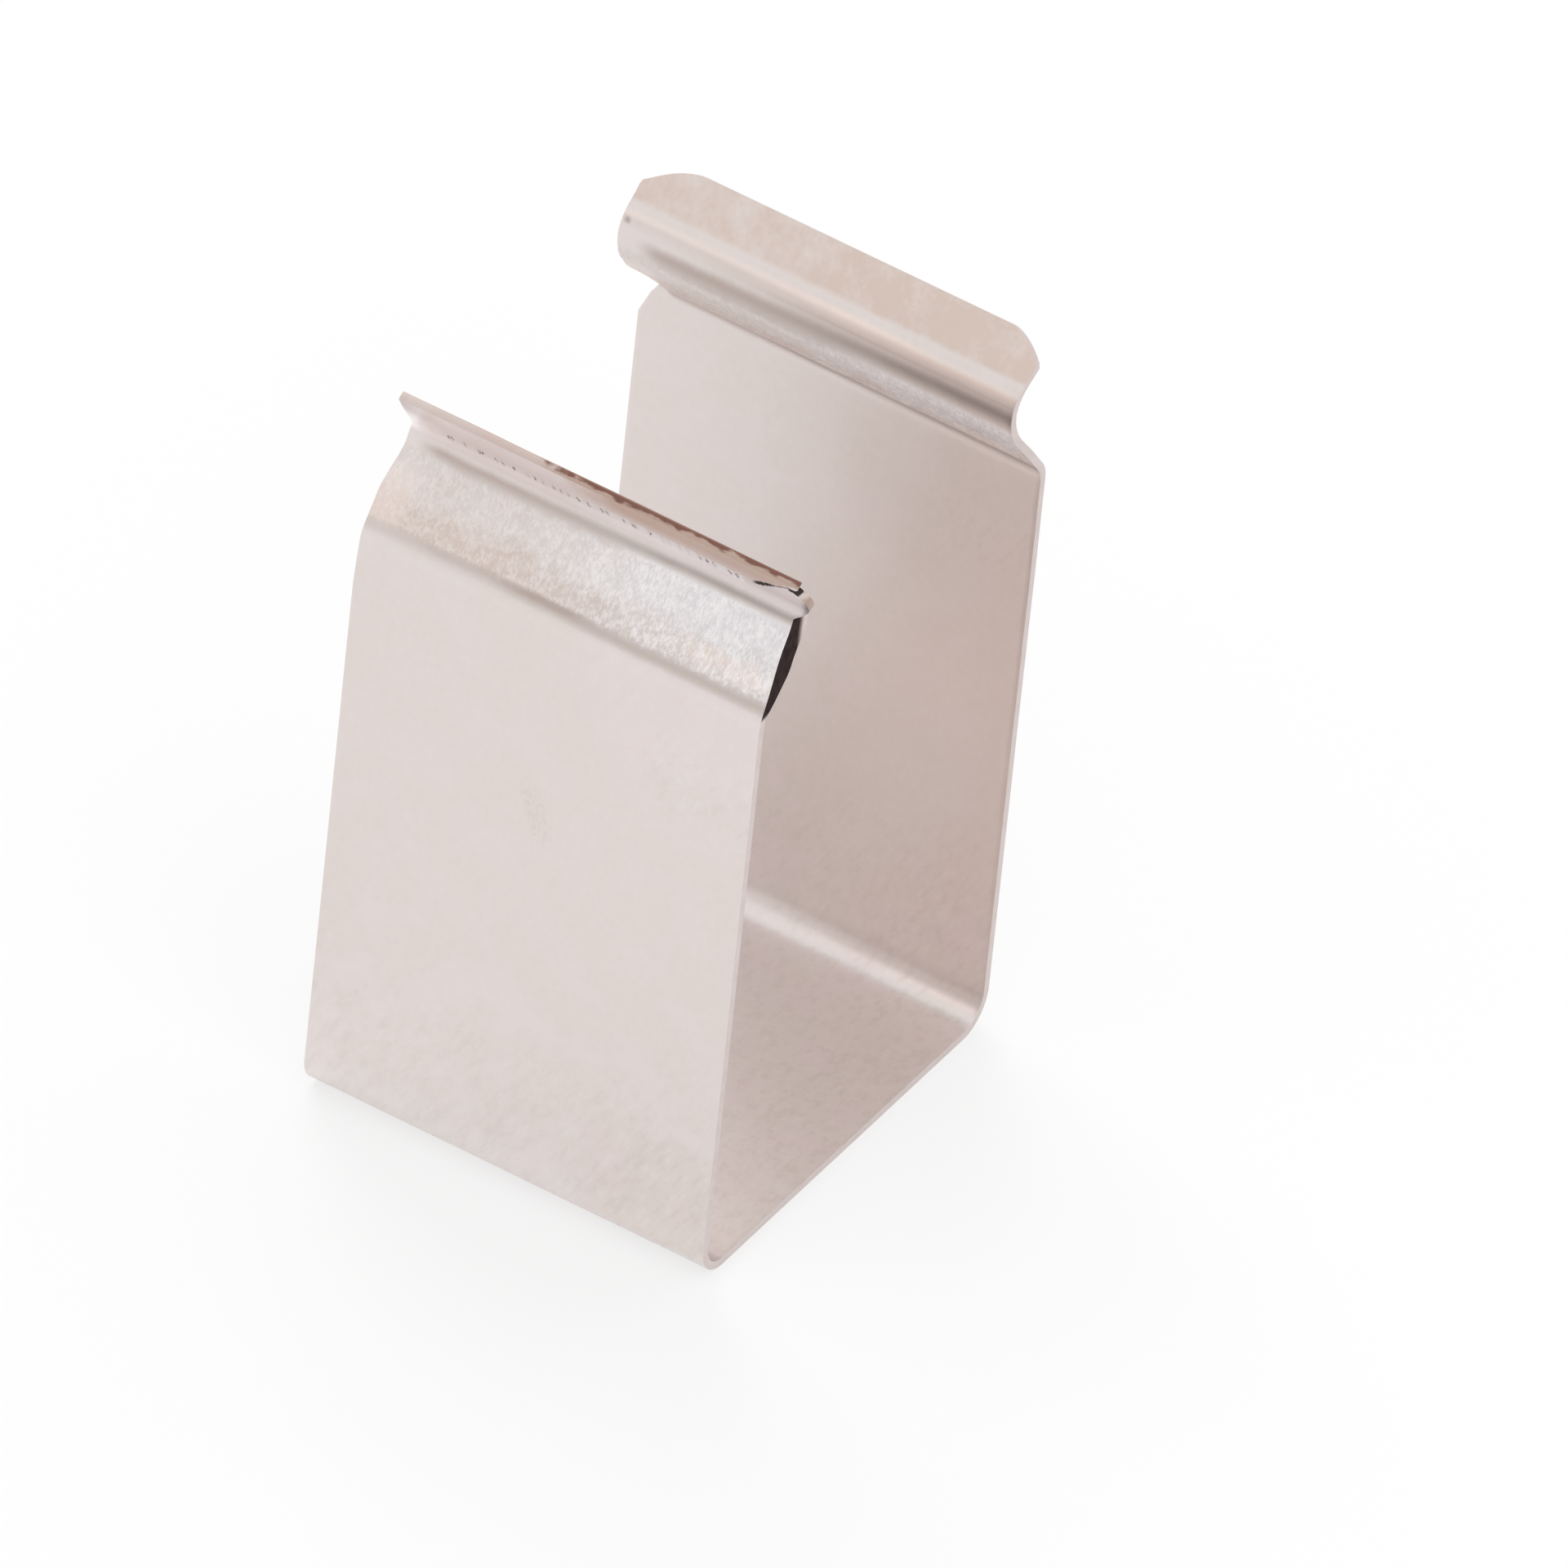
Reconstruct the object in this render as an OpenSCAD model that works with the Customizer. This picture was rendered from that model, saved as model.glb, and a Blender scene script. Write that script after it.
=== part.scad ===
// Spring clip that holds one rectangular 9 V size battery by its long sides.
// One strip of nickel-plated spring steel: a flat base, two upright arms, a band on each arm
// that leans in over the battery's shoulder, and a lip that flares out to guide it in.
// X runs along the battery, Y across the arms, Z up. The origin is the middle of the underside.

/* [Strip] */
// Width of the strip, along the battery
strip_w = 16; // [10:0.5:30]
// Thickness of the sheet
sheet_t = 0.3; // [0.2:0.05:0.6]

/* [Bay] */
// Clear width between the arms
bay_w = 17; // [14:0.5:30]
// Inside radius of the bends where the arms leave the base
base_bend_r = 1.1; // [0.4:0.1:3]
// Length of the flat of each arm
arm_flat = 22.6; // [10:0.2:40]

/* [Shoulder bands] */
// Lean of the bands towards each other, in degrees from upright
band_angle = 37; // [20:1:50]
// Inside radius of the bend between arm and band
shoulder_r = 1; // [0.3:0.1:2]
// Length of the flat of each band
band_flat = 2.3; // [1:0.1:5]

/* [Lips] */
// Lean of the lips away from each other, in degrees from upright
lip_angle = 36; // [15:1:55]
// Inside radius of the bend at the neck, between band and lip
neck_r = 1.5; // [0.5:0.1:3]
// Length of the flat of each lip
lip_flat = 1.7; // [1:0.1:5]
// Radius of the corners of the lips
lip_corner_r = 1.6; // [0.5:0.1:3]
// Depth of the shallow waist in each side of the strip at the neck
waist_depth = 0.25; // [0.1:0.05:0.8]
// Height of that waist, from end to end
waist_h = 6; // [3:0.5:8]

/* [Base] */
// Diameter of the screw hole in the middle of the base
hole_d = 3.2; // [2:0.1:5]

/* [Hidden] */
$fn = 96;
// Length by which a cutter passes the faces it cuts
over = 1;
base_flat = bay_w - 2 * base_bend_r;
// Each step of one half is a bend and the flat after it: angle, inside radius, length of the flat
STEPS = [
    [90, base_bend_r, arm_flat],
    [band_angle, shoulder_r, band_flat],
    [-(band_angle + lip_angle), neck_r, lip_flat]
];
// Where each step starts, and last where the strip ends: distance from the middle, height, heading
PLACES = [for (i = [0 : len(STEPS)]) place_at(i)];
lip_end = PLACES[3];
neck_z = PLACES[2].y - neck_r * cos(PLACES[2].z);
// Radius of an arc as deep and as high as the waist
waist_r = (pow(waist_h / 2, 2) + pow(waist_depth, 2)) / (2 * waist_depth);

// Height of a bend's centre above the underside of the strip, below it where the strip turns down
function centre_of(step) = step[0] > 0 ? sheet_t + step[1] : -step[1];

function place_after(place, step) =
    let (from = place.z, to = from + step[0], c = centre_of(step), run = step[2])
    [
        place.x + c * (sin(to) - sin(from)) + run * cos(to),
        place.y + c * (cos(from) - cos(to)) + run * sin(to),
        to
    ];

function place_at(i) = i == 0 ? [base_flat / 2, 0, 0] : place_after(place_at(i - 1), STEPS[i - 1]);

// Section of one bend about its centre, from the heading along +X through the given angle
module bend_section(angle, inner_r) {
    reach = inner_r + 2 * sheet_t;
    intersection() {
        difference() {
            circle(r = inner_r + sheet_t);
            circle(r = inner_r);
        }
        translate([0, -reach])
            square([reach, 2 * reach]);
        rotate(angle)
            translate([-reach, -reach])
                square([reach, 2 * reach]);
    }
}

// Section of one half from where a step starts: its bend, its flat, then the steps after it
module half_section(i = 0) {
    angle = STEPS[i][0];
    centre = centre_of(STEPS[i]);
    flat = STEPS[i][2];
    translate([0, centre]) {
        bend_section(angle, STEPS[i][1]);
        rotate(angle)
            translate([0, -centre]) {
                square([flat, sheet_t]);
                if (i < len(STEPS) - 1)
                    translate([flat, 0])
                        half_section(i + 1);
            }
    }
}

module strip_section() {
    translate([-base_flat / 2, 0])
        square([base_flat, sheet_t]);
    for (side = [0, 1])
        mirror([side, 0])
            translate([base_flat / 2, 0])
                half_section();
}

module folded_strip() {
    rotate([90, 0, 90])
        linear_extrude(height = strip_w, center = true)
            strip_section();
}

// What is cut away outside one corner of a lip, square to the lip
module lip_corner_waste() {
    translate([0, lip_end.x, lip_end.y])
        rotate([lip_end.z, 0, 0])
            translate([strip_w / 2 - lip_corner_r, -lip_corner_r, -sheet_t])
                linear_extrude(height = 3 * sheet_t)
                    difference() {
                        square(lip_corner_r + over);
                        circle(r = lip_corner_r);
                    }
}

// What is cut away at one side of the strip to make the waist of both arms
module waist_waste() {
    translate([strip_w / 2 - waist_depth + waist_r, 0, neck_z])
        rotate([90, 0, 0])
            cylinder(r = waist_r, h = bay_w + 2 * sheet_t + 2 * over, center = true);
}

module hole_waste() {
    cylinder(d = hole_d, h = 3 * sheet_t, center = true);
}

module clip() {
    color([0.80, 0.76, 0.73])
        difference() {
            folded_strip();
            hole_waste();
            for (end = [0, 1])
                mirror([end, 0, 0]) {
                    waist_waste();
                    for (arm = [0, 1])
                        mirror([0, arm, 0])
                            lip_corner_waste();
                }
        }
}

clip();
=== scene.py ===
# %% [markdown]
# # A folded spring clip
#
# The real object is one strip of nickel-plated spring steel, 0.3 mm thick. It is folded into a U with a
# flat base and two upright arms. Near its end each arm leans in, over the shoulder of what it holds, and
# then turns out again as a short lip. The clip could be cut out of a block, but here it is folded much as
# it is on a press: a row of edges is pushed along each flat and spun round each bend. This keeps the mesh
# in tidy rows, so the uneven hand of a cheap stamping can be added to it afterwards.
#
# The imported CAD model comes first. It says where the clip stands and how large it is.

# %% Load the frame
from collections import namedtuple
from math import cos, pi, radians, sin

import bpy
from mathutils import Matrix, Vector


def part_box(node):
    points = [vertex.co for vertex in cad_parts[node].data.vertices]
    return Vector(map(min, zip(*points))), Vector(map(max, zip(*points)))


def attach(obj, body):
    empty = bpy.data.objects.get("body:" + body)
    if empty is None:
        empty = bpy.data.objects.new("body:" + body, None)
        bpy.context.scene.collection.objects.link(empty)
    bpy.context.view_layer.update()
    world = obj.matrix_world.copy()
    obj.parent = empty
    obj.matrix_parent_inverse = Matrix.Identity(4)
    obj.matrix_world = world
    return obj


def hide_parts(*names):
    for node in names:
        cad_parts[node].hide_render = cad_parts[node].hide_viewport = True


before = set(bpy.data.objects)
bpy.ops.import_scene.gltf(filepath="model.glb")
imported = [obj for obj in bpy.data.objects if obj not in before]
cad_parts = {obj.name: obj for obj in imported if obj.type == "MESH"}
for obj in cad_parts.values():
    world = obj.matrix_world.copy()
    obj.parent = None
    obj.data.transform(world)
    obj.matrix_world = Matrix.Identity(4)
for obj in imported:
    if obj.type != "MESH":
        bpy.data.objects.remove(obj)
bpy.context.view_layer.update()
low, high = (Vector(corner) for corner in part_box("clip"))
print("CAD box in mm:", [round(1000 * side, 2) for side in high - low])

# %% [markdown]
# ## Sizes of the strip
#
# The width of the strip and the distance between the outsides of the arms come from the CAD node. The
# bends are named here because a box can't tell them. Every length is in metres, so `MM` turns millimetres
# into scene units. `TINY` and `CLOSE` say how near two places have to be to count as the same.

# %% Sizes of the strip
MM = 0.001
TINY = 0.001 * MM
CLOSE = 0.01 * MM
STRIP_WIDTH = high.x - low.x
HALF_WIDTH = STRIP_WIDTH / 2
HALF_OUTSIDE = (high.y - low.y) / 2
SHEET = 0.3 * MM
BASE_BEND = 1.1 * MM
SHOULDER_BEND = 1.0 * MM
BAND_ANGLE = 37
BAND_FLAT = 2.3 * MM
LIP_FLAT = 1.7 * MM
HOLE_RADIUS = 1.6 * MM
print("strip", round(STRIP_WIDTH / MM, 2), "mm wide,", round(2 * HALF_OUTSIDE / MM, 2), "mm over the arms")

# %% [markdown]
# ## Two arms that differ
#
# The arms of the real clip aren't quite alike. The near lip stands steeper and its corners are nearly
# square. The far arm is a little shorter, and its lip has long round corners. The CAD keeps the mean of the
# two. A corner starts at `reach` from the free edge, and at the edge itself it has come in by `depth`, or
# gone out where that is negative. With a `power` of 1 it is straight, and with less it is round.

# %% The near arm and the far arm
Corner = namedtuple("Corner", "reach depth power")
Arm = namedtuple("Arm", "side flat neck_bend lip_angle left_corner right_corner")

NEAR = Arm(
    side=-1,
    flat=22.6 * MM,
    neck_bend=1.6 * MM,
    lip_angle=32,
    left_corner=Corner(reach=1.7 * MM, depth=0.35 * MM, power=1),
    right_corner=Corner(reach=1.7 * MM, depth=-0.18 * MM, power=1),
)
FAR = Arm(
    side=1,
    flat=22.25 * MM,
    neck_bend=1.78 * MM,
    lip_angle=40,
    left_corner=Corner(reach=1.0 * MM, depth=2.2 * MM, power=0.69),
    right_corner=Corner(reach=0.9 * MM, depth=1.5 * MM, power=0.62),
)
print("the lips lean", NEAR.lip_angle, "and", FAR.lip_angle, "degrees from upright")

# %% [markdown]
# ## Working by operators
#
# Each tool acts on what is selected, so these helpers first clear the selection and then select by place.
# That is what a hand does with the box-select tool, and it doesn't depend on the order of the vertices.

# %% Helpers to select
def deselect_all():
    """Leaves edit mode and deselects everything, so that the next primitive is alone."""
    if bpy.context.object and bpy.context.object.mode != "OBJECT":
        bpy.ops.object.mode_set(mode="OBJECT")
    bpy.ops.object.select_all(action="DESELECT")


def select_vertices(piece, wanted):
    """Selects the vertices for whose place wanted is true, in edit mode, and nothing else."""
    bpy.ops.object.mode_set(mode="EDIT")
    bpy.ops.mesh.select_mode(type="VERT")
    bpy.ops.mesh.select_all(action="DESELECT")
    bpy.ops.object.mode_set(mode="OBJECT")
    for vertex in piece.data.vertices:
        vertex.select = wanted(vertex.co)
    bpy.ops.object.mode_set(mode="EDIT")


# %% [markdown]
# A modifier can stay open on a piece, or be applied. Here each one is applied at once, because the next
# step works on the vertices that it leaves.

# %% Helper to apply a modifier
def apply_modifier(piece, kind, **settings):
    """Adds one modifier, sets it, applies it and says how many faces the piece then has."""
    bpy.ops.object.mode_set(mode="OBJECT")
    modifier = piece.modifiers.new(kind.title(), kind)
    for key, value in settings.items():
        setattr(modifier, key, value)
    bpy.ops.object.modifier_apply(modifier=modifier.name)
    print("after", kind.lower(), "the piece has", len(piece.data.polygons), "faces")


# %% [markdown]
# ## The base
#
# The strip starts as a flat grid: the base as far as the first bends. Its surface is the outside of the
# sheet, because the outside is what the sizes were read from. The thickness is added later, inwards.

# %% The flat of the base
COLUMNS = 80
BASE_ROWS = 12
base_end = HALF_OUTSIDE - SHEET - BASE_BEND

deselect_all()
bpy.ops.mesh.primitive_grid_add(x_subdivisions=COLUMNS, y_subdivisions=BASE_ROWS, size=2)
clip = bpy.context.object
clip.name = "clip_sheet"
bpy.ops.object.mode_set(mode="EDIT")
bpy.ops.mesh.select_all(action="SELECT")
bpy.ops.transform.resize(value=(HALF_WIDTH, base_end, 1))
print("base flat", round(2 * base_end / MM, 2), "mm")

# %% [markdown]
# ## Push and turn
#
# One row of vertices is carried up each arm. `push` extrudes it along the present heading, which makes a
# flat, and `turn` spins it about the centre of a bend, which makes a true arc. The heading is measured
# from level outwards, so 90 degrees is straight up and more than that leans in. On the outside surface a
# bend inwards has the inside radius and the thickness of the sheet, and the bend outwards at the neck has
# its inside radius alone, because there the outside surface is the inside of the bend.

# %% Push and turn
class Strip:
    """The free end of one half of the strip while it is being folded."""

    def __init__(self, side, place):
        self.side = side
        self.place = place
        self.heading = 0

    def direction(self, degrees):
        """The unit vector along a heading."""
        angle = radians(degrees)
        return Vector((0, self.side * cos(angle), sin(angle)))

    def push(self, length, rows):
        """Extrudes the selected row into a flat of that length."""
        step = self.direction(self.heading) * (length / rows)
        for _ in range(rows):
            bpy.ops.mesh.extrude_region_move(TRANSFORM_OT_translate={"value": step})
        self.place = self.place + step * rows

    def turn(self, degrees, surface_radius, steps):
        """Spins the selected row round a bend, inwards for a positive angle and outwards for a negative one.

        Blender's spin goes round clockwise, so it is given the opposite of the angle that the matrix takes.
        """
        way = 1 if degrees > 0 else -1
        centre = self.place + self.direction(self.heading + 90) * surface_radius * way
        turn_angle = radians(degrees) * self.side
        bpy.ops.mesh.spin(steps=steps, angle=-turn_angle, center=centre, axis=(1, 0, 0))
        self.place = centre + Matrix.Rotation(turn_angle, 3, "X") @ (self.place - centre)
        self.heading += degrees


# %% [markdown]
# ## A lip with shaped corners
#
# The corners of a lip could be cut away afterwards, but the cut would cross the tidy rows. Here each row of
# the lip is made narrower as it is pushed out, so its ends lie on the side of the lip. The rows come closer
# together towards the free edge, where a round corner turns most.

# %% Push a lip out row by row
LIP_ROWS = 14


def inset(from_end, corner):
    """How far a side of the strip is in from its full width, at a distance from the end of the lip."""
    if from_end >= corner.reach:
        return 0
    return corner.depth * (1 - (from_end / corner.reach) ** corner.power)


def push_lip(strip, arm):
    """Extrudes the lip row by row, and narrows each row at its left and right to shape the corners."""
    ends = [LIP_FLAT * sin(pi / 2 * row / LIP_ROWS) for row in range(LIP_ROWS + 1)]
    left, right = -HALF_WIDTH, HALF_WIDTH
    for before, after in zip(ends, ends[1:]):
        strip.push(after - before, 1)
        new_left = -HALF_WIDTH + inset(LIP_FLAT - after, arm.left_corner)
        new_right = HALF_WIDTH - inset(LIP_FLAT - after, arm.right_corner)
        narrowing = (new_right - new_left) / (right - left)
        shift = (new_right + new_left) / 2 - narrowing * (right + left) / 2
        bpy.ops.transform.resize(value=(narrowing, 1, 1), center_override=(0, 0, 0), orient_type="GLOBAL")
        bpy.ops.transform.translate(value=(shift, 0, 0))
        left, right = new_left, new_right


# %% [markdown]
# ## The fold of each arm
#
# Each arm is one chain: a bend up from the base, the long flat of the arm, a bend inwards at the shoulder,
# the flat of the band, and the bend at the neck that turns the lip out. A tight bend gets more rows for
# its length than a flat, so that it looks round.

# %% Fold both arms
BASE_BEND_ROWS = 12
ARM_ROWS = 26
SHOULDER_ROWS = 7
BAND_ROWS = 9
NECK_ROWS = 16


def fold_arm(arm):
    """Folds one arm, from the end of the base to the free edge of its lip, and returns the lip's start."""
    foot = Vector((0, arm.side * base_end, 0))
    strip = Strip(arm.side, foot)
    select_vertices(clip, lambda place: abs(place.y - foot.y) < CLOSE and abs(place.z) < CLOSE)
    strip.turn(90, BASE_BEND + SHEET, BASE_BEND_ROWS)
    strip.push(arm.flat, ARM_ROWS)
    strip.turn(BAND_ANGLE, SHOULDER_BEND + SHEET, SHOULDER_ROWS)
    strip.push(BAND_FLAT, BAND_ROWS)
    strip.turn(-BAND_ANGLE - arm.lip_angle, arm.neck_bend, NECK_ROWS)
    lip_start = strip.place.copy()
    push_lip(strip, arm)
    bpy.ops.object.mode_set(mode="OBJECT")
    return lip_start


near_lip_start = fold_arm(NEAR)
far_lip_start = fold_arm(FAR)
print("rows folded:", len(clip.data.polygons) // COLUMNS)
print("size in mm:", [round(side / MM, 2) for side in clip.dimensions])
print("lips start at", round(near_lip_start.z / MM, 2), "and", round(far_lip_start.z / MM, 2), "mm up")

# %% [markdown]
# ## The hand of the press
#
# A cheap stamping is never quite true. The near lip has slid a little to the right in its bend. To move
# the lip alone would leave a step in the sides, so this is done by proportional editing, which moves one
# place and takes its neighbours along with a smooth fade.

# %% Slide the near lip
LIP_SLIDE = 0.22 * MM
SLIDE_REACH = 1.0 * MM


def drag(wanted, move, reach, fade="SMOOTH"):
    """Moves the vertices that wanted picks, and what lies within reach of them, fading with distance."""
    select_vertices(clip, wanted)
    bpy.ops.transform.translate(
        value=move,
        orient_type="GLOBAL",
        use_proportional_edit=True,
        proportional_edit_falloff=fade,
        proportional_size=reach,
    )
    bpy.ops.object.mode_set(mode="OBJECT")


drag(lambda place: place.y < 0 and place.z > near_lip_start.z - CLOSE, (LIP_SLIDE, 0, 0), SLIDE_REACH)
print("the near lip slides by", round(LIP_SLIDE / MM, 2), "mm")

# %% [markdown]
# ## Waists, ear and notch
#
# At the neck the sides of the strip come in by about a quarter of a millimetre and go out again. One of the
# four sides hardly has a waist, and the right end of the near lip is squeezed out into an ear, with a notch
# above it. Each row of `PULLS` moves one vertex and its neighbours. `side` picks the arm and `end` its left
# or right, where only vertices beyond `END_ZONE` are looked at. The other numbers are millimetres, and a
# negative `inwards` pulls the strip out.

# %% Pull the sides of the strip
END_ZONE = 7 * MM
Pull = namedtuple("Pull", "name side end height inwards reach lift fade", defaults=(0, "SMOOTH"))
PULLS = [
    Pull("near left waist", -1, -1, 27.8, 0.42, 2.6),
    Pull("near left shoulder", -1, -1, 24.8, 0.12, 3.0),
    Pull("near right waist", -1, 1, 26.8, 0.3, 3.2),
    Pull("near right ear", -1, 1, 28.3, -0.36, 0.8, fade="SPHERE"),
    Pull("near right notch", -1, 1, 29.45, 0.28, 0.4),
    Pull("far left side", 1, -1, 26.9, 0.05, 2.0),
    Pull("far left lip", 1, -1, 28.9, 0.2, 1.8),
    Pull("far left shoulder", 1, -1, 24.5, 0.85, 1.6, lift=0.3),
    Pull("far right waist", 1, 1, 27.5, 0.24, 2.6),
]


def side_vertex(side, end, height):
    """The place of the vertex at the left or right end of one arm that is nearest to a height."""
    places = [vertex.co for vertex in clip.data.vertices]
    at_end = [place for place in places if place.y * side > 0 and place.x * end > END_ZONE]
    level = min(at_end, key=lambda place: abs(place.z - height)).z
    row = [place for place in at_end if abs(place.z - level) < TINY]
    return max(row, key=lambda place: place.x * end).copy()


for pull in PULLS:
    spot = side_vertex(pull.side, pull.end, pull.height * MM)
    move = (-pull.end * pull.inwards * MM, 0, pull.lift * MM)
    drag(lambda place: (place - spot).length < TINY, move, pull.reach * MM, pull.fade)
    print(pull.name, "at x =", round(spot.x / MM, 2), "mm moves by", round(move[0] / MM, 2), "mm")

# %% [markdown]
# ## Flats that wave
#
# The flats wave by a few hundredths of a millimetre, which can't be measured by eye but shows in the
# reflections. A Displace modifier on soft clouds makes such a wave.

# %% Wave the flats
WAVE_LENGTH = 7 * MM
WAVE_HEIGHT = 0.06 * MM

wave = bpy.data.textures.new("wave_of_the_flats", "CLOUDS")
wave.noise_scale = WAVE_LENGTH
apply_modifier(clip, "DISPLACE", texture=wave, strength=WAVE_HEIGHT, texture_coords="LOCAL")

# %% [markdown]
# ## Materials and normals
#
# The faces of the sheet take the first material, and the rim that Solidify will add takes the second, the
# look of a cut edge. Solidify grows the sheet along its normals. So doubled vertices are merged, the
# normals are made to agree, and all are turned over if the base turns out to face down.

# %% Make the normals point into the bay
nickel = bpy.data.materials.new("satin_nickel")
cut_steel = bpy.data.materials.new("sheared_edge")
for material in (nickel, cut_steel):
    clip.data.materials.append(material)

bpy.ops.object.mode_set(mode="EDIT")
bpy.ops.mesh.select_all(action="SELECT")
bpy.ops.mesh.remove_doubles(threshold=TINY)
bpy.ops.mesh.normals_make_consistent(inside=False)
bpy.ops.object.mode_set(mode="OBJECT")
base_face = min(clip.data.polygons, key=lambda face: face.center.length)
faced_down = base_face.normal.z < 0
if faced_down:
    bpy.ops.object.mode_set(mode="EDIT")
    bpy.ops.mesh.flip_normals()
    bpy.ops.object.mode_set(mode="OBJECT")
print("the base faced", "down, so all faces were turned over" if faced_down else "up")

# %% [markdown]
# ## The swollen side of the near band
#
# Where the press squeezed the right side of the near band into its waist, the metal swelled to the back. A
# vertex group marks the side of the strip there. Its weight rises from the shoulder, stays at 1 along the
# band and falls off at the neck.

# %% Mark the swelling
SWELLING_LOW = 24.5 * MM
SWELLING_HIGH = 27.9 * MM
SWELLING_RISE = 1.4 * MM
SWELLING_FALL = 0.7 * MM
SWELLING_ZONE = 7.5 * MM
SIDE_MARGIN = 0.05 * MM


def is_beside_band(place):
    """Whether a place is at the very side of the strip, at the right of the near band."""
    if place.y > 0 or place.x < SWELLING_ZONE or not SWELLING_LOW < place.z < SWELLING_HIGH:
        return False
    return place.x > side_vertex(NEAR.side, 1, place.z).x - SIDE_MARGIN


swelling = clip.vertex_groups.new(name="swelling")
swollen = [vertex for vertex in clip.data.vertices if is_beside_band(vertex.co)]
for vertex in swollen:
    rise = (vertex.co.z - SWELLING_LOW) / SWELLING_RISE
    fall = (SWELLING_HIGH - vertex.co.z) / SWELLING_FALL
    swelling.add([vertex.index], min(rise, fall, 1), "REPLACE")
print("vertices that swell:", len(swollen))

# %% [markdown]
# ## The thickness of the sheet
#
# The faces could be extruded inwards, but in the bends they would then grow thinner or thicker. Solidify
# keeps the sheet even. It is given the thickness of the swelling, and a factor that says what share of it
# the sheet has where the vertex group has no weight.

# %% Give the sheet its thickness
SWOLLEN = 1.1 * MM

apply_modifier(
    clip,
    "SOLIDIFY",
    thickness=SWOLLEN,
    vertex_group="swelling",
    thickness_vertex_group=SHEET / SWOLLEN,
    offset=1,
    use_even_offset=True,
    material_offset_rim=1,
)

# %% [markdown]
# ## The screw hole
#
# The base has a hole for a screw in its middle. To bend the rows of the grid round it would spoil them, so
# a Boolean takes a cylinder away from the finished sheet. The cylinder has the material of the cut edges,
# and hands it on to the wall of the hole.

# %% Cut the screw hole
HOLE_SIDES = 64

deselect_all()
bpy.ops.mesh.primitive_cylinder_add(vertices=HOLE_SIDES, radius=HOLE_RADIUS, depth=4 * SHEET)
cutter = bpy.context.object
cutter.data.materials.append(cut_steel)
deselect_all()
clip.select_set(True)
bpy.context.view_layer.objects.active = clip
apply_modifier(clip, "BOOLEAN", operation="DIFFERENCE", object=cutter, material_mode="TRANSFER")
bpy.data.objects.remove(cutter)

# %% [markdown]
# ## Rounded edges
#
# A shear leaves a small rounding along a cut, and that catches the light. A narrow bevel makes it wherever
# two faces meet at more than 50 degrees. Then the shading is made smooth across all gentler corners. The
# sheet now stands for the CAD's clip in the frame.

# %% Round the edges
EDGE_ROUNDING = 0.045 * MM
BEVEL_ANGLE = radians(50)
SMOOTH_ANGLE = radians(35)

apply_modifier(clip, "BEVEL", width=EDGE_ROUNDING, segments=3, limit_method="ANGLE", angle_limit=BEVEL_ANGLE)
bpy.ops.object.shade_smooth_by_angle(angle=SMOOTH_ANGLE)
triangles = sum(len(face.vertices) - 2 for face in clip.data.polygons)
print("clip:", len(clip.data.vertices), "vertices,", triangles, "triangles")

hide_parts("clip")
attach(clip, "root")

# %% [markdown]
# ## Materials from expressions
#
# A material here is arithmetic on signals, such as a height in millimetres or a noise. Placing each Math
# node by hand would hide that arithmetic, so `Signal` wraps a socket, and then `1 - mask` or `grain * 0.2`
# adds the nodes.

# %% Signals
class Signal:
    """A number that changes over the surface. Arithmetic on it adds Math nodes."""

    def __init__(self, finish, socket):
        self.finish = finish
        self.socket = socket

    def math(self, operation, first, second):
        """The result of one Math node."""
        return self.finish.node("ShaderNodeMath", {"operation": operation}, {0: first, 1: second})

    def __add__(self, other):
        return self.math("ADD", self, other)

    def __radd__(self, other):
        return self.math("ADD", other, self)

    def __sub__(self, other):
        return self.math("SUBTRACT", self, other)

    def __rsub__(self, other):
        return self.math("SUBTRACT", other, self)

    def __mul__(self, other):
        return self.math("MULTIPLY", self, other)

    def __rmul__(self, other):
        return self.math("MULTIPLY", other, self)

    def at_least(self, other):
        """The larger of this signal and another, or a number."""
        return self.math("MAXIMUM", self, other)

    def output(self, name):
        """Another output of the node that this signal comes from."""
        return Signal(self.finish, self.socket.node.outputs[name])


# %% [markdown]
# ## What a finish can do
#
# `Finish` holds the nodes of one material, and its `node` method makes every node. The other methods are
# the few things that the looks of the clip are made of: smooth steps and bands that mark a place, noise
# that breaks up their edges, and layers of tint laid over each other where a mask is 1.

# %% Finishes
RELIEF_HEIGHT = 0.01 * MM
DIRT_AND_SHADE = (0.025, 0.017, 0.018, 1)
# The Mix node has sockets for each kind of data, and these are the numbers of those for colours
MIX_FACTOR, MIX_FIRST, MIX_SECOND, MIX_RESULT = 0, 6, 7, 2


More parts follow.
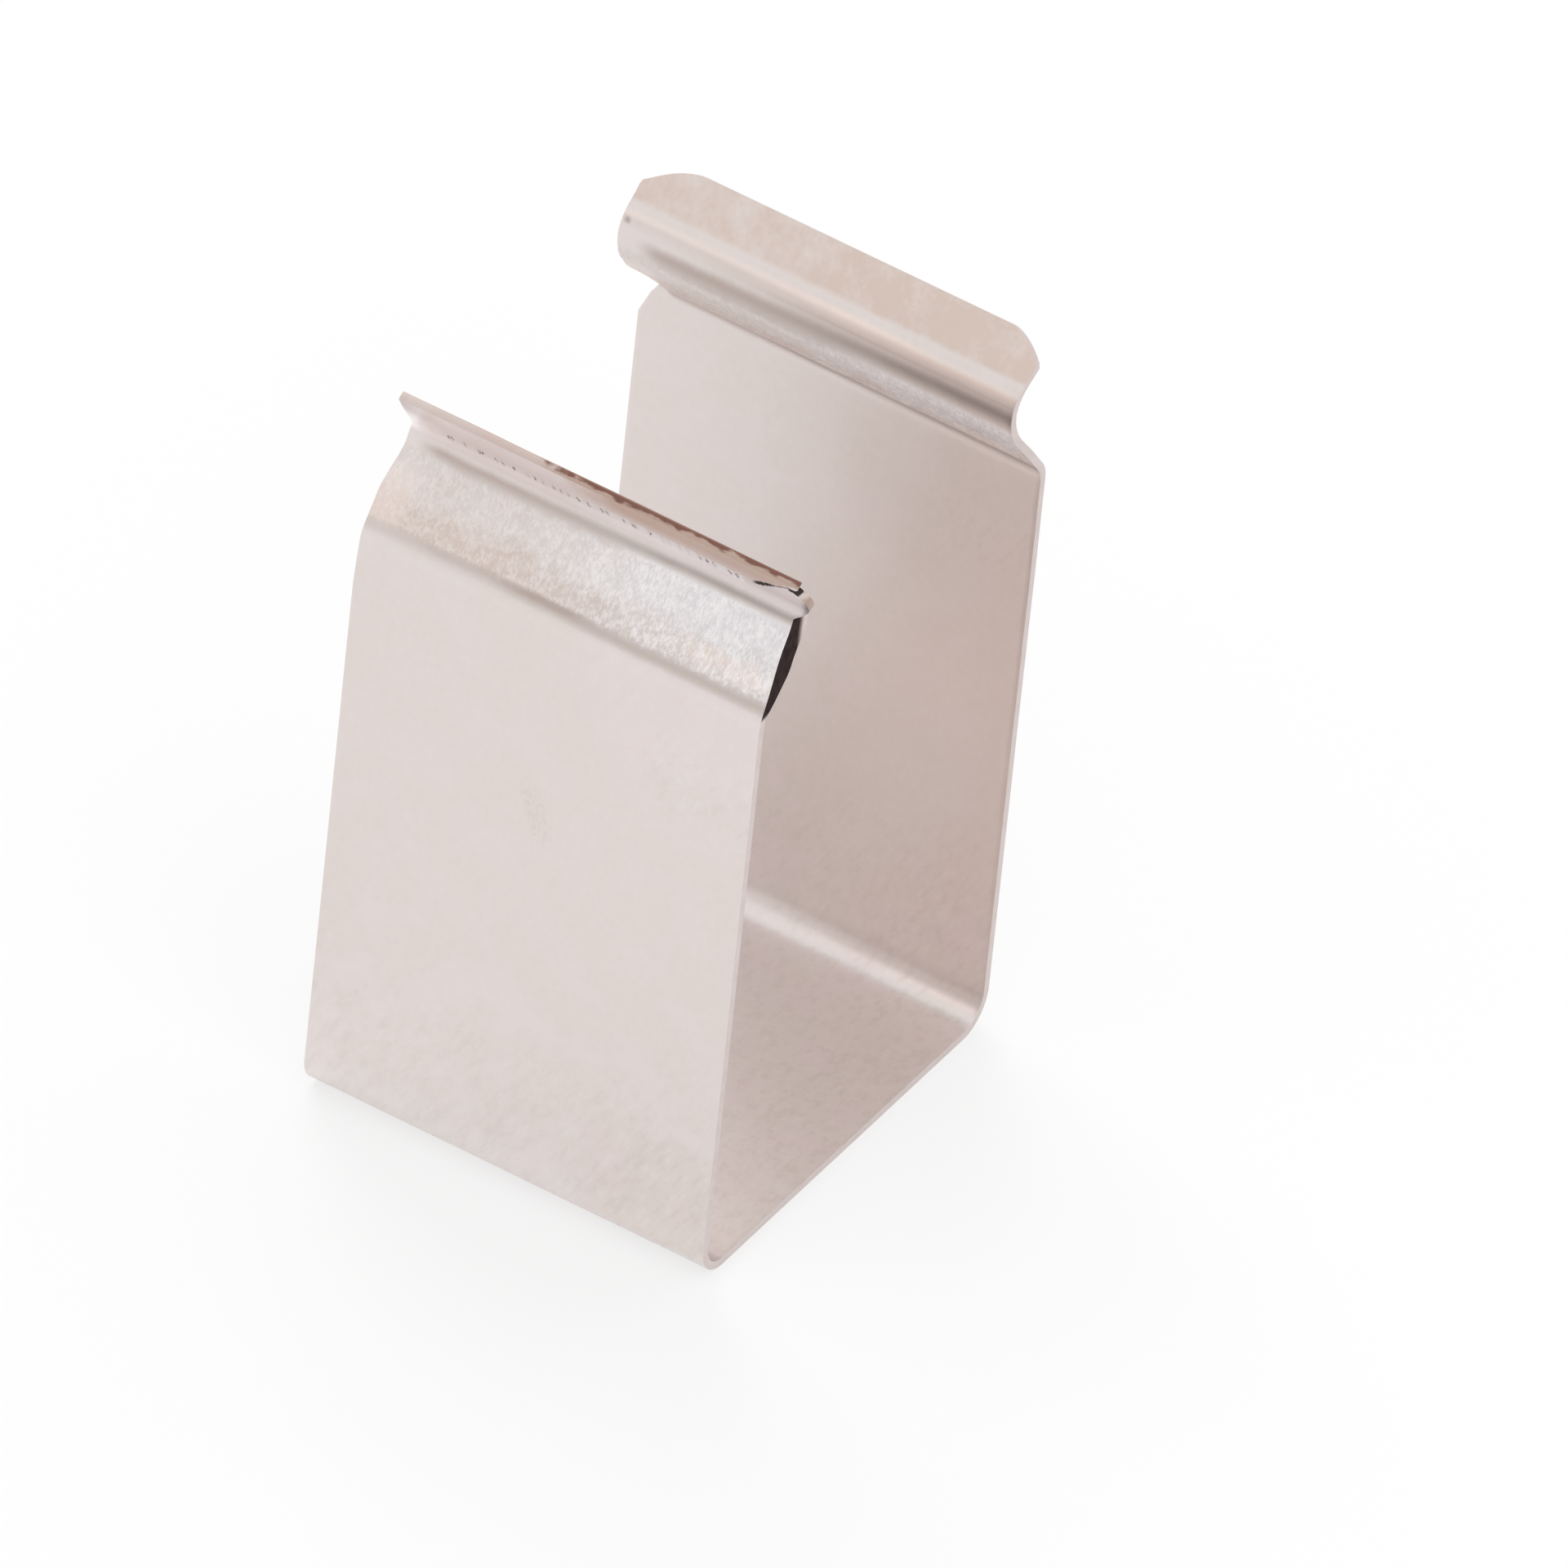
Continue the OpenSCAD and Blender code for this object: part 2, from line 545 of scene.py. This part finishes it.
class Finish:
    """The node tree of one material, built by calls."""

    def __init__(self, material):
        material.use_nodes = True
        self.tree = material.node_tree
        self.tree.nodes.clear()

    def node(self, kind, settings=None, values=None, output=0):
        """Adds a node, sets its settings and its sockets, by value or by link, and returns one output."""
        node = self.tree.nodes.new(kind)
        for key, value in (settings or {}).items():
            setattr(node, key, value)
        for key, value in (values or {}).items():
            if isinstance(value, Signal):
                self.tree.links.new(value.socket, node.inputs[key])
            else:
                node.inputs[key].default_value = value
        return Signal(self, node.outputs[output]) if node.outputs else None

    def place_mm(self):
        """The place on the object, in millimetres."""
        place = self.node("ShaderNodeTexCoord", output="Object")
        return self.node("ShaderNodeVectorMath", {"operation": "SCALE"}, {0: place, "Scale": 1 / MM})

    def axes(self, vector):
        """The three coordinates of a place or direction, as signals."""
        parts = self.node("ShaderNodeSeparateXYZ", values={0: vector})
        return [parts.output(axis) for axis in "XYZ"]

    def step(self, value, start, end):
        """0 before start, 1 after end, smooth between. Start may be the larger."""
        values = {"Value": value, "From Min": start, "From Max": end}
        return self.node("ShaderNodeMapRange", {"interpolation_type": "SMOOTHSTEP"}, values)

    def band(self, value, low_end, high_end, soft):
        """1 between two ends, fading out over soft on both sides."""
        begun = self.step(value, low_end - soft, low_end + soft)
        not_over = self.step(value, high_end + soft, high_end - soft)
        return begun * not_over

    def noise(self, place, scale, detail=3.0, stretch=(1, 1, 1), roughness=0.5):
        """Cloudy noise from 0 to 1, with scale in features per millimetre, stretched by axis."""
        stretched = self.node("ShaderNodeMapping", values={"Vector": place, "Scale": stretch})
        values = {"Vector": stretched, "Scale": scale, "Detail": detail, "Roughness": roughness}
        return self.node("ShaderNodeTexNoise", values=values, output="Fac")

    def layers(self, colour, *tints):
        """The colour with tints over it. Each tint is a pair: how much of it shows, and its colour."""
        for amount, tint in tints:
            values = {MIX_FACTOR: amount, MIX_FIRST: colour, MIX_SECOND: tint}
            colour = self.node("ShaderNodeMix", {"data_type": "RGBA"}, values, output=MIX_RESULT)
        return colour

    def bump(self, strength, height):
        """A normal that follows a relief."""
        values = {"Strength": strength, "Distance": RELIEF_HEIGHT, "Height": height}
        return self.node("ShaderNodeBump", values=values)

    def surface(self, links, dirt_and_shade):
        """Bright metal, with constants on its own sockets, and a dull dark cover, for dirt and for painted
        shade, over it where dirt_and_shade is 1.
        """
        metal = self.node("ShaderNodeBsdfPrincipled", values={"Metallic": 1.0, "IOR": 1.5, **links})
        dull = {"Base Color": DIRT_AND_SHADE, "Roughness": 1.0, "Specular IOR Level": 0.0}
        dirt_and_shade_shader = self.node("ShaderNodeBsdfPrincipled", values=dull)
        shader = self.node("ShaderNodeMixShader", values={0: dirt_and_shade, 1: metal, 2: dirt_and_shade_shader})
        self.node("ShaderNodeOutputMaterial", values={"Surface": shader})


def wander(value, noise, amount):
    """The value moved to and fro by a noise, by half of amount each way, so that no line looks ruled."""
    return value + (noise - 0.5) * amount


# %% [markdown]
# ## Satin nickel
#
# The plating is a warm white metal, satin on the arms. The bands are frosted: pale and bluish at the right,
# tan at the left and along their lower edge. A tan line of painted shade marks the crease where each band
# begins, and a grey one the neck. One colour couldn't show all that, so tints are laid over the first one,
# each at its own place.

# %% Tints of the plating
NICKEL = (0.760, 0.690, 0.660, 1)
NICKEL_PALE = (0.85, 0.83, 0.85, 1)
NICKEL_FROST = (0.905, 0.875, 0.875, 1)
NICKEL_ROSE = (0.81, 0.715, 0.72, 1)
NICKEL_PEACH = (0.93, 0.80, 0.735, 1)
NICKEL_TAN = (0.70, 0.585, 0.525, 1)
NICKEL_BRIGHT = (0.90, 0.86, 0.85, 1)
MARKS_AND_CREASE_SHADE = (0.46, 0.375, 0.335, 1)
GROUND_AND_NECK_SHADE_GREY = (0.42, 0.37, 0.35, 1)
print("satin nickel as linear red, green and blue:", NICKEL[:3])

# %% [markdown]
# ## Noises and heights
#
# `clouds` and `patches` are broad, `peel`, `blotches` and `grain` are fine, and `ripples` lie aslant. The
# parts of the strip follow each other upwards, so the height alone tells them apart. It is counted on the
# near arm: the far one is shorter, and `far_drop` makes up for that. From here on, all numbers for places
# are millimetres on the clip, with x to the right along the strip and y away from the near arm.

# %% Noises and heights
finish = Finish(nickel)
place = finish.place_mm()
x, y, z = finish.axes(place)
clouds = finish.noise(place, 0.45, 4.0)
patches = finish.noise(place, 0.9, 4.0, roughness=0.6)
peel = finish.noise(place, 3.5, 4.0, (1, 1, 0.8), 0.6)
grain = finish.noise(place, 9.5, 3.0, (1.3, 0.75, 0.5), 0.6)
blotches = finish.noise(place, 3.4, 4.0, (1.2, 1, 0.7), 0.65)
slanted = finish.node("ShaderNodeMapping", values={"Vector": place, "Rotation": (0, radians(-29), 0)})
ripples = finish.noise(slanted, 2.0, 4.0, (1.8, 1, 0.6), 0.6)

far_drop = (NEAR.flat - FAR.flat) / MM * finish.step(y, -1.0, 1.0) * finish.step(z, 27.6, 26.6)
wobble = (patches - 0.5) * 0.12 + (grain - 0.5) * 0.06
height = z + far_drop + wobble
print("nodes of the noises:", len(finish.tree.nodes))

# %% [markdown]
# ## The arms
#
# The arms are nearly plain. Soft clouds brighten them, and rose clouds show towards the lower left. A
# painted light brightens the lowest rows, against the dark that they reflect from the shaded floor round the
# foot. The outside of the near arm has a rosy corner at the upper right, a tan one at the lower right,
# slanting ripples near the foot and along the right, and one small scuff above its middle.

# %% Marks of the arms
bright_tone_and_foot_light = finish.step(clouds, 0.35, 0.7) * 0.08 + finish.step(peel, 0.3, 0.7) * 0.11
# Painted light: the lower rows, and most of all the foot, are lightened against the shade they reflect from
# the floor.
bright_tone_and_foot_light = bright_tone_and_foot_light + finish.step(z, 8.0, 1.5) * 0.05 + finish.step(z, 2.6, 0.8) * 0.25
rosy = finish.step(clouds, 0.5, 0.62) * (0.12 + finish.step(z + x * 0.4, 11.0, 5.0) * 0.28)

near_face = finish.step(y, -8.6, -8.7)
rosy_corner = near_face * finish.step(wander(wander(x, patches, 1.5), ripples, 0.8), 1.5, 2.1)
rosy_corner = rosy_corner * finish.step(wander(z, ripples, 3.0), 20.2, 21.1)
tan_corner = near_face * finish.step(wander(x, patches, 3.0), 2.4, 3.6)
tan_corner = tan_corner * finish.step(wander(z, patches, 4.0), 6.2, 4.8)

right_ripples = finish.band(z, 19.0, 21.6, 0.8) + finish.step(z, 13.0, 8.0) * 0.4
rippled = finish.step(wander(z, clouds, 8.0), 8.0, 4.0) + rosy_corner * 0.3
rippled = rippled + finish.step(x, 3.0, 5.0) * right_ripples
scuff = near_face * finish.band(wander(x, grain, 1.2) + (z - 16.2) * 0.3, -0.45, 0.45, 0.15)
scuff = scuff * finish.band(z, 15.0, 17.3, 0.4) * finish.step(grain, 0.45, 0.6)

colour = finish.layers(
    NICKEL,
    (bright_tone_and_foot_light, NICKEL_BRIGHT),
    (rosy, NICKEL_ROSE),
    (rosy_corner * 0.45, NICKEL_ROSE),
    (tan_corner * 0.2, NICKEL_TAN),
    (rippled * finish.step(ripples, 0.50, 0.66) * 0.09, MARKS_AND_CREASE_SHADE),
    (rippled * finish.step(ripples, 0.46, 0.34) * 0.13, NICKEL_BRIGHT),
    (scuff * 0.14, MARKS_AND_CREASE_SHADE),
)
print("nodes with the arms:", len(finish.tree.nodes))

# %% [markdown]
# ## The frosted bands
#
# Each band is a coarse frost of light specks on a darker ground. One noise alone would look like clouds or
# like sand, so three of different size are added up, and a step makes specks of the sum. Tan rises from
# the lower edge and is dusted over the left part, a peach stain lies low at the right, and the left end is
# creamy.

# %% Frosted bands
SHOULDER_LINE = 24.86
NECK_LINE = 27.40
on_band = finish.band(z + far_drop, SHOULDER_LINE + 0.04, NECK_LINE - 0.25, 0.12)
rightwards = finish.step(wander(x, patches, 6.0), -4.0, 5.5)
low_on_band = finish.step(wander(height, patches, 1.6), 26.2, 25.3)
frost = finish.step(grain * 0.42 + blotches * 0.38 + patches * 0.2, 0.40, 0.61)
peach = finish.band(wander(height, patches, 0.8), 25.15, 25.65, 0.25) * finish.band(x, 4.4, 8.2, 0.9)
dusty = (1 - rightwards) * finish.step(patches, 0.45, 0.6)
left_end = finish.step(wander(x, patches, 1.5), -6.4, -7.2) * finish.step(height, 27.0, 26.2)

colour = finish.layers(
    colour,
    (on_band * rightwards, NICKEL_PALE),
    (on_band * low_on_band * (0.85 - rightwards * 0.4), NICKEL_TAN),
    (on_band * peach * 0.85, NICKEL_PEACH),
    (on_band * dusty * 0.35, NICKEL_TAN),
    (on_band * frost * (0.36 + rightwards * 0.5), NICKEL_FROST),
    (on_band * (1 - frost) * (0.12 + rightwards * 0.14), GROUND_AND_NECK_SHADE_GREY),
    (on_band * left_end * 0.35, NICKEL_PEACH),
)
print("nodes with the bands:", len(finish.tree.nodes))

# %% [markdown]
# ## The painted shade of the creases
#
# The bends alone would hardly show, because they are gentle. On the real clip a dark line shows along each,
# and here it is painted shade. The line along the shoulder has a soft shade under it and is deepest left of
# the middle. The one at the neck is tan at the left and grey at the right, and its left half is smudged
# downwards.

# %% Painted shade at the shoulder and neck creases
# Painted shade: a soft shade under the shoulder line, and dark lines along both creases.
shoulder_shade = finish.band(height, SHOULDER_LINE - 0.26, SHOULDER_LINE, 0.12)
shoulder_shade_line = finish.band(height, SHOULDER_LINE - 0.11, SHOULDER_LINE + 0.11, 0.09)
line_start = finish.step(wander(x, patches, 2.0), -7.4, -4.6)
deepest = finish.band(wander(x, patches, 3.0), -2.2, 0.6, 0.8)
neck_shade_smudge = finish.band(height, NECK_LINE - 0.4, NECK_LINE, 0.16) * finish.band(x, -6.2, 1.0, 1.0)
neck_shade_line = finish.band(height - rightwards * 0.10, NECK_LINE - 0.20, NECK_LINE + 0.15, 0.2)
neck_shade_line = neck_shade_line * finish.step(x, -7.4, -6.2)

colour = finish.layers(
    colour,
    (shoulder_shade * (0.25 + finish.step(x, -4.0, -1.0) * 0.25), MARKS_AND_CREASE_SHADE),
    (shoulder_shade_line * (0.15 + line_start * 0.27 + deepest * 0.4), MARKS_AND_CREASE_SHADE),
    (neck_shade_smudge * 0.3, MARKS_AND_CREASE_SHADE),
    (neck_shade_line * (0.78 - rightwards * 0.7), MARKS_AND_CREASE_SHADE),
    (neck_shade_line * rightwards, GROUND_AND_NECK_SHADE_GREY),
)
print("nodes with the creases:", len(finish.tree.nodes))

# %% [markdown]
# ## The crack and the stain of the near lip
#
# The near lip has marks of its own, on its outside only, so a plane tilted as the lip is parts its outside
# from its inside. A ragged crack climbs from the end of the row of pits towards the right corner, and it is
# widest in its first half. Above that line, from the middle rightwards, a tan stain deepens towards the
# free edge.

# %% Crack and stain
LIP_START = 28.4
LIP_SLOPE = 0.62
CRACK_START = 6.25
CRACK_HEIGHT = 28.56
CRACK_SLOPE = 0.62

outside = finish.step(y + (z - LIP_START) * LIP_SLOPE, -6.95, -7.02)
on_lip = outside * finish.step(z, 27.75, 28.15)
ragged = finish.noise(place, 17.0, 3.0)
climb = (x - CRACK_START).at_least(0.0) * CRACK_SLOPE
above_crack = wander(wander(height - CRACK_HEIGHT - climb, grain, 0.2), ragged, 0.16)
widest = finish.band(x, 6.3, 7.15, 0.2)
crack = finish.band(above_crack, -0.08 - widest * 0.07, 0.03 + widest * 0.08, 0.03)
crack = crack * finish.band(x, CRACK_START, 7.9, 0.15) * (0.5 + widest * 0.3 + ragged * 0.3)
# The notch at the right end of the free edge is painted shade, carried with the crack into the dull dark
# shader.
notch = finish.step(x, 7.85, 8.0) * finish.band(z, 29.35, 29.6, 0.06)
crack = on_lip * (crack + notch)

stain = on_lip * finish.step(wander(x, patches, 2.0), -1.6, 1.4) * finish.step(above_crack, 0.0, 0.15)
stain = stain * (0.3 + finish.step(height, 28.5, 29.4) * 0.7)
print("nodes with the crack:", len(finish.tree.nodes))

# %% [markdown]
# ## The pits of the near lip
#
# A row of tiny pits follows the end of the bend, with bright glints between them. A Voronoi texture in one
# dimension spaces them unevenly along x: its distance is 0 at the middle of each pit. A slow noise thins
# them out into groups.

# %% Pits and glints
PIT_LINE = 28.42
PITS_PER_MM = 2.6
along = {"W": wander(x, grain, 0.35), "Scale": PITS_PER_MM, "Randomness": 0.9}
spacing = finish.node("ShaderNodeTexVoronoi", {"voronoi_dimensions": "1D"}, along, output="Distance")
groups = finish.step(finish.noise(place, 1.1, 1.0, (1.0, 0.2, 0.2)), 0.42, 0.5)
pit_row = on_lip * finish.band(wander(height, ragged, 0.2), PIT_LINE - 0.12, PIT_LINE + 0.12, 0.05)
pits = pit_row * finish.band(x, -7.0, 5.9, 0.1) * finish.step(spacing, 0.11, 0.05) * groups
glint_row = on_lip * finish.band(height, PIT_LINE - 0.24, PIT_LINE + 0.26, 0.1) * finish.step(x, 5.9, 5.7)
glints = glint_row * finish.step(spacing, 0.18, 0.24)
print("nodes with the pits:", len(finish.tree.nodes))

# %% [markdown]
# ## The colour of the near lip
#
# The lip is painted pale, as painted light against the dark that it reflects, and a little darker at both
# ends; at the left end the darker tint is painted shade. Stain, glints and pits go over that in this order,
# so the pits stay on top.

# %% Tints of the near lip
LIP_PALE = (0.97, 0.905, 0.905, 1)
LIP_SHADE = (0.61, 0.50, 0.48, 1)
STAIN = (0.675, 0.50, 0.42, 1)
GLINT = (1.0, 0.97, 0.96, 1)
PIT = (0.22, 0.17, 0.15, 1)

# LIP_PALE is painted light against the dark the lip reflects; LIP_SHADE at the left end is painted shade.
colour = finish.layers(
    colour,
    (on_lip, LIP_PALE),
    (on_lip * finish.step(x, 1.0, 7.0) * 0.26, LIP_SHADE),
    (on_lip * finish.step(x, -5.4, -7.6) * finish.step(z, 28.5, 29.5), LIP_SHADE),
    (stain, STAIN),
    (glints, GLINT),
    (pits * 0.5, PIT),
)
print("nodes with the near lip:", len(finish.tree.nodes))

# %% [markdown]
# ## The far lip
#
# The inside of the far lip is what shows, and it is tan. Where its bend begins to turn down, a pale painted
# highlight runs along it, then the metal is warmer, and lower still two thin lines have been rubbed dull.
# There is one small dent near the left end. The masks read y too, so that none of this reaches the near arm.

# %% Tints of the far lip
FAR_LIP = (0.69, 0.57, 0.51, 1)
far_neck = finish.step(y, 6.5, 6.7)
on_far_lip = finish.step(y, 6.9, 7.1) * finish.step(height, 28.42, 28.72)
far_tan = 0.66 + (patches - 0.5) * 1.8 + (blotches - 0.5) * 1.2 + rightwards * 0.3
# A painted highlight along the start of the far bend.
painted_bend_highlight = far_neck * finish.band(z, 28.18, 28.42, 0.12)
warm_bend = far_neck * finish.band(z, 27.75, 28.22, 0.1)
rub_height = z + wobble * 0.5
rubbed = finish.band(rub_height, 27.80, 27.90, 0.04) + finish.band(rub_height, 27.60, 27.64, 0.03) * 0.5
rubbed = far_neck * rubbed * finish.step(wander(x, patches, 4.0), -5.0, 2.0)
dent = finish.band(x, -7.8, -7.6, 0.09) * finish.band(z + wobble, 27.95, 28.15, 0.08)
dent = dent * finish.step(y, 6.0, 6.2)

colour = finish.layers(
    colour,
    (on_far_lip * far_tan, FAR_LIP),
    (painted_bend_highlight * (0.5 - finish.step(x, 1.0, 6.0) * 0.4), NICKEL_PEACH),
    (warm_bend * (0.4 + finish.step(x, 0.0, 5.0) * 0.35), NICKEL_TAN),
    (rubbed * 0.8, MARKS_AND_CREASE_SHADE),
    (dent * 0.5, PIT),
)
print("nodes with the far lip:", len(finish.tree.nodes))

# %% [markdown]
# ## Roughness and relief of the plating
#
# The bands are rougher than the arms. The same signals that gave the colour now give the relief: the frost
# stands up, and creases, pits and dent go down. The crack and the pits are filled with dirt, and the notch
# with painted shade. Neither is metal, so they are a second shader.

# %% Surface of the plating
# Dirt in the crack and the pits, painted shade in the notch.
dirt_and_shade = crack.at_least(pits * 0.5)
roughness = 0.36 + (clouds - 0.5) * 0.06 + on_band * 0.12
frosted = (grain + blotches) * on_band
relief = peel * 0.6 + frosted * 2.6 - neck_shade_line * 1.5 - shoulder_shade_line - (dirt_and_shade + dent) * 5.0
bump = finish.bump(strength=0.35, height=relief)
finish.surface({"Base Color": colour, "Roughness": roughness, "Normal": bump}, dirt_and_shade)
print("satin nickel has", len(finish.tree.nodes), "nodes")

# %% [markdown]
# ## The sheared edge
#
# The strip was plated after it was cut, so its edges are nickel too, a little rougher and warmer. The free
# edge of the near lip is darker. Along its right part the plating is worn off: the side towards the bay is
# a patchy brown, with a thin tan line at its rim.

# %% Edges of the sheet and worn edge of the near lip
EDGE = (0.69, 0.61, 0.59, 1)
EDGE_WARM = (0.64, 0.545, 0.515, 1)
EDGE_TAN = (0.47, 0.345, 0.285, 1)
EDGE_BROWN = (0.19, 0.09, 0.07, 1)

finish = Finish(cut_steel)
place = finish.place_mm()
x, y, z = finish.axes(place)
torn = finish.noise(place, 1.6, 4.0, (1, 1, 1), 0.6)
flakes = finish.noise(place, 3.2, 4.0, (0.4, 1, 1), 0.55)
near_side = finish.step(y, -6.0, -6.4)
lip_edge = near_side * finish.step(z, 29.5, 29.6)
worn = lip_edge * finish.step(wander(x, torn, 3.0), -2.0, -1.0)
browned = worn * finish.step(wander(y, flakes, 0.45), -7.90, -7.81)
inner_line = near_side * finish.step(y, -7.755, -7.735) * finish.step(z, 29.7, 29.8)

colour = finish.layers(
    EDGE,
    (finish.step(torn, 0.4, 0.65) * 0.4, EDGE_WARM),
    (lip_edge * (0.25 + finish.step(x, -7.0, -2.0) * 0.25), EDGE_TAN),
    (worn * 0.9, EDGE_TAN),
    (browned * 0.95, EDGE_BROWN),
    (inner_line * 0.5, EDGE_TAN),
)
print("nodes with the worn edge:", len(finish.tree.nodes))

# %% [markdown]
# ## The painted shade on the side of the near band
#
# Down the swollen side of the near band the metal is painted nearly black as shade, and so is the notch
# above it. A place alone can't part that side from its rounded rims, which are pale. The direction of the
# surface
# can: only faces that look to the right get the painted shade.

# %% Painted shade on the side, and surface of the edges
beside_band = near_side * finish.step(x, 7.2, 7.3)
facing_right = finish.axes(finish.node("ShaderNodeNewGeometry", output="Normal"))[0]
# Painted shade: the side that faces right, and the notch, go dark in the dull dark shader.
side_shade = beside_band * finish.band(z, 24.45, 27.55, 0.1) * finish.step(facing_right, 0.78, 0.94)
notch = beside_band * finish.band(z, 29.2, 29.6, 0.06)
dirt_and_shade = (side_shade + notch) * wander(0.97, flakes, 0.12)
colour = finish.layers(colour, (beside_band * finish.band(z, 24.45, 29.0, 0.1), EDGE_TAN))
roughness = wander(0.42, torn, 0.15)
bump = finish.bump(strength=0.3, height=torn)
finish.surface({"Base Color": colour, "Roughness": roughness, "Normal": bump}, dirt_and_shade)
print("sheared edge has", len(finish.tree.nodes), "nodes")

# %% [markdown]
# ## The floor
#
# The floor is a pale sheet under the clip. Lit by the lamps alone it would be grey, so to the camera and in
# reflections it also glows nearly white. It is matt for the rest, and there the lamps draw the shadow.

# %% Floor
FLOOR_SIZE = 3
FLOOR_GAP = 0.02 * MM
PAPER = (0.86, 0.86, 0.86, 1)
WHITE = (1, 1, 1, 1)
WHITENESS = 0.63

deselect_all()
bpy.ops.mesh.primitive_plane_add(size=FLOOR_SIZE, location=(0, 0, -FLOOR_GAP))
floor = bpy.context.object
floor.name = "floor"
paper = bpy.data.materials.new("paper")
floor.data.materials.append(paper)
finish = Finish(paper)
rays = finish.node("ShaderNodeLightPath")
seen = rays.output("Is Camera Ray") + rays.output("Is Glossy Ray") + rays.output("Is Transmission Ray")
matt = finish.node("ShaderNodeBsdfDiffuse", values={"Color": PAPER})
glow = finish.node("ShaderNodeEmission", values={"Color": WHITE, "Strength": 1.0})
mixed = finish.node("ShaderNodeMixShader", values={0: seen * WHITENESS, 1: matt, 2: glow})
finish.node("ShaderNodeOutputMaterial", values={"Surface": mixed})
print("floor", FLOOR_SIZE, "m wide,", round(FLOOR_GAP / MM, 2), "mm under the clip")

# %% [markdown]
# ## The room
#
# Metal looks like what surrounds it. The room is white overhead and a touch darker at the horizon, so the
# upright faces of the clip come out darker than those that look up.

# %% World
HORIZON = 0.93
world = bpy.data.worlds.new("studio")
bpy.context.scene.world = world
finish = Finish(world)
direction = finish.node("ShaderNodeTexCoord", output="Generated")
upward = finish.axes(direction)[2]
sky = HORIZON + finish.step(upward, 0.1, 0.9) * (1 - HORIZON)
room = finish.node("ShaderNodeBackground", values={"Color": WHITE, "Strength": sky})
finish.node("ShaderNodeOutputWorld", values={"Surface": room})
print("the room has strength", HORIZON, "at the horizon and 1 overhead")

# %% [markdown]
# ## The lamps
#
# Two square lamps give the light a direction. They are large for so small a clip, because a small lamp
# would draw a hard glint on the metal.

# %% Lamps
LAMP_AIM = Vector((0, 0, 0.015))
LAMPS = {
    "key": {"place": (-0.45, 0.35, 0.65), "size": 0.5, "watts": 1.5},
    "fill": {"place": (0.5, -0.2, 0.35), "size": 0.5, "watts": 0.5},
}
for lamp_name, lamp in LAMPS.items():
    light = bpy.data.lights.new(lamp_name, "AREA")
    light.size = lamp["size"]
    light.energy = lamp["watts"]
    holder = bpy.data.objects.new(lamp_name, light)
    bpy.context.collection.objects.link(holder)
    holder.location = lamp["place"]
    holder.rotation_euler = (LAMP_AIM - holder.location).to_track_quat("-Z", "Y").to_euler()
    print(lamp_name, "lamp", round((LAMP_AIM - holder.location).length, 2), "m away")

# %% [markdown]
# ## The camera
#
# The photograph was taken with a long lens, so its lines hardly run together. The camera stands two metres
# off, to the right of the near arm and above it, and is turned a little about its own axis.

# %% Camera
AIM = Vector((3.86 * MM, 0.68 * MM, 13.44 * MM))
AZIMUTH = radians(29.166)
ELEVATION = radians(39.596)
ROLL = radians(6.143)
DISTANCE = 1962.88 * MM
FOCAL_LENGTH_MM = 1350
SENSOR_MM = 36

lens = bpy.data.cameras.new("camera")
lens.lens = FOCAL_LENGTH_MM
lens.sensor_width = SENSOR_MM
camera = bpy.data.objects.new("camera", lens)
bpy.context.collection.objects.link(camera)
away = Vector((sin(AZIMUTH) * cos(ELEVATION), -cos(AZIMUTH) * cos(ELEVATION), sin(ELEVATION)))
facing = (-away).to_track_quat("-Z", "Y").to_matrix()
camera.location = AIM + away * DISTANCE
camera.rotation_euler = (facing @ Matrix.Rotation(ROLL, 3, "Z")).to_euler()
bpy.context.scene.camera = camera
bpy.context.scene.view_settings.view_transform = "Standard"
print("camera at", [round(part, 3) for part in camera.location], "m")
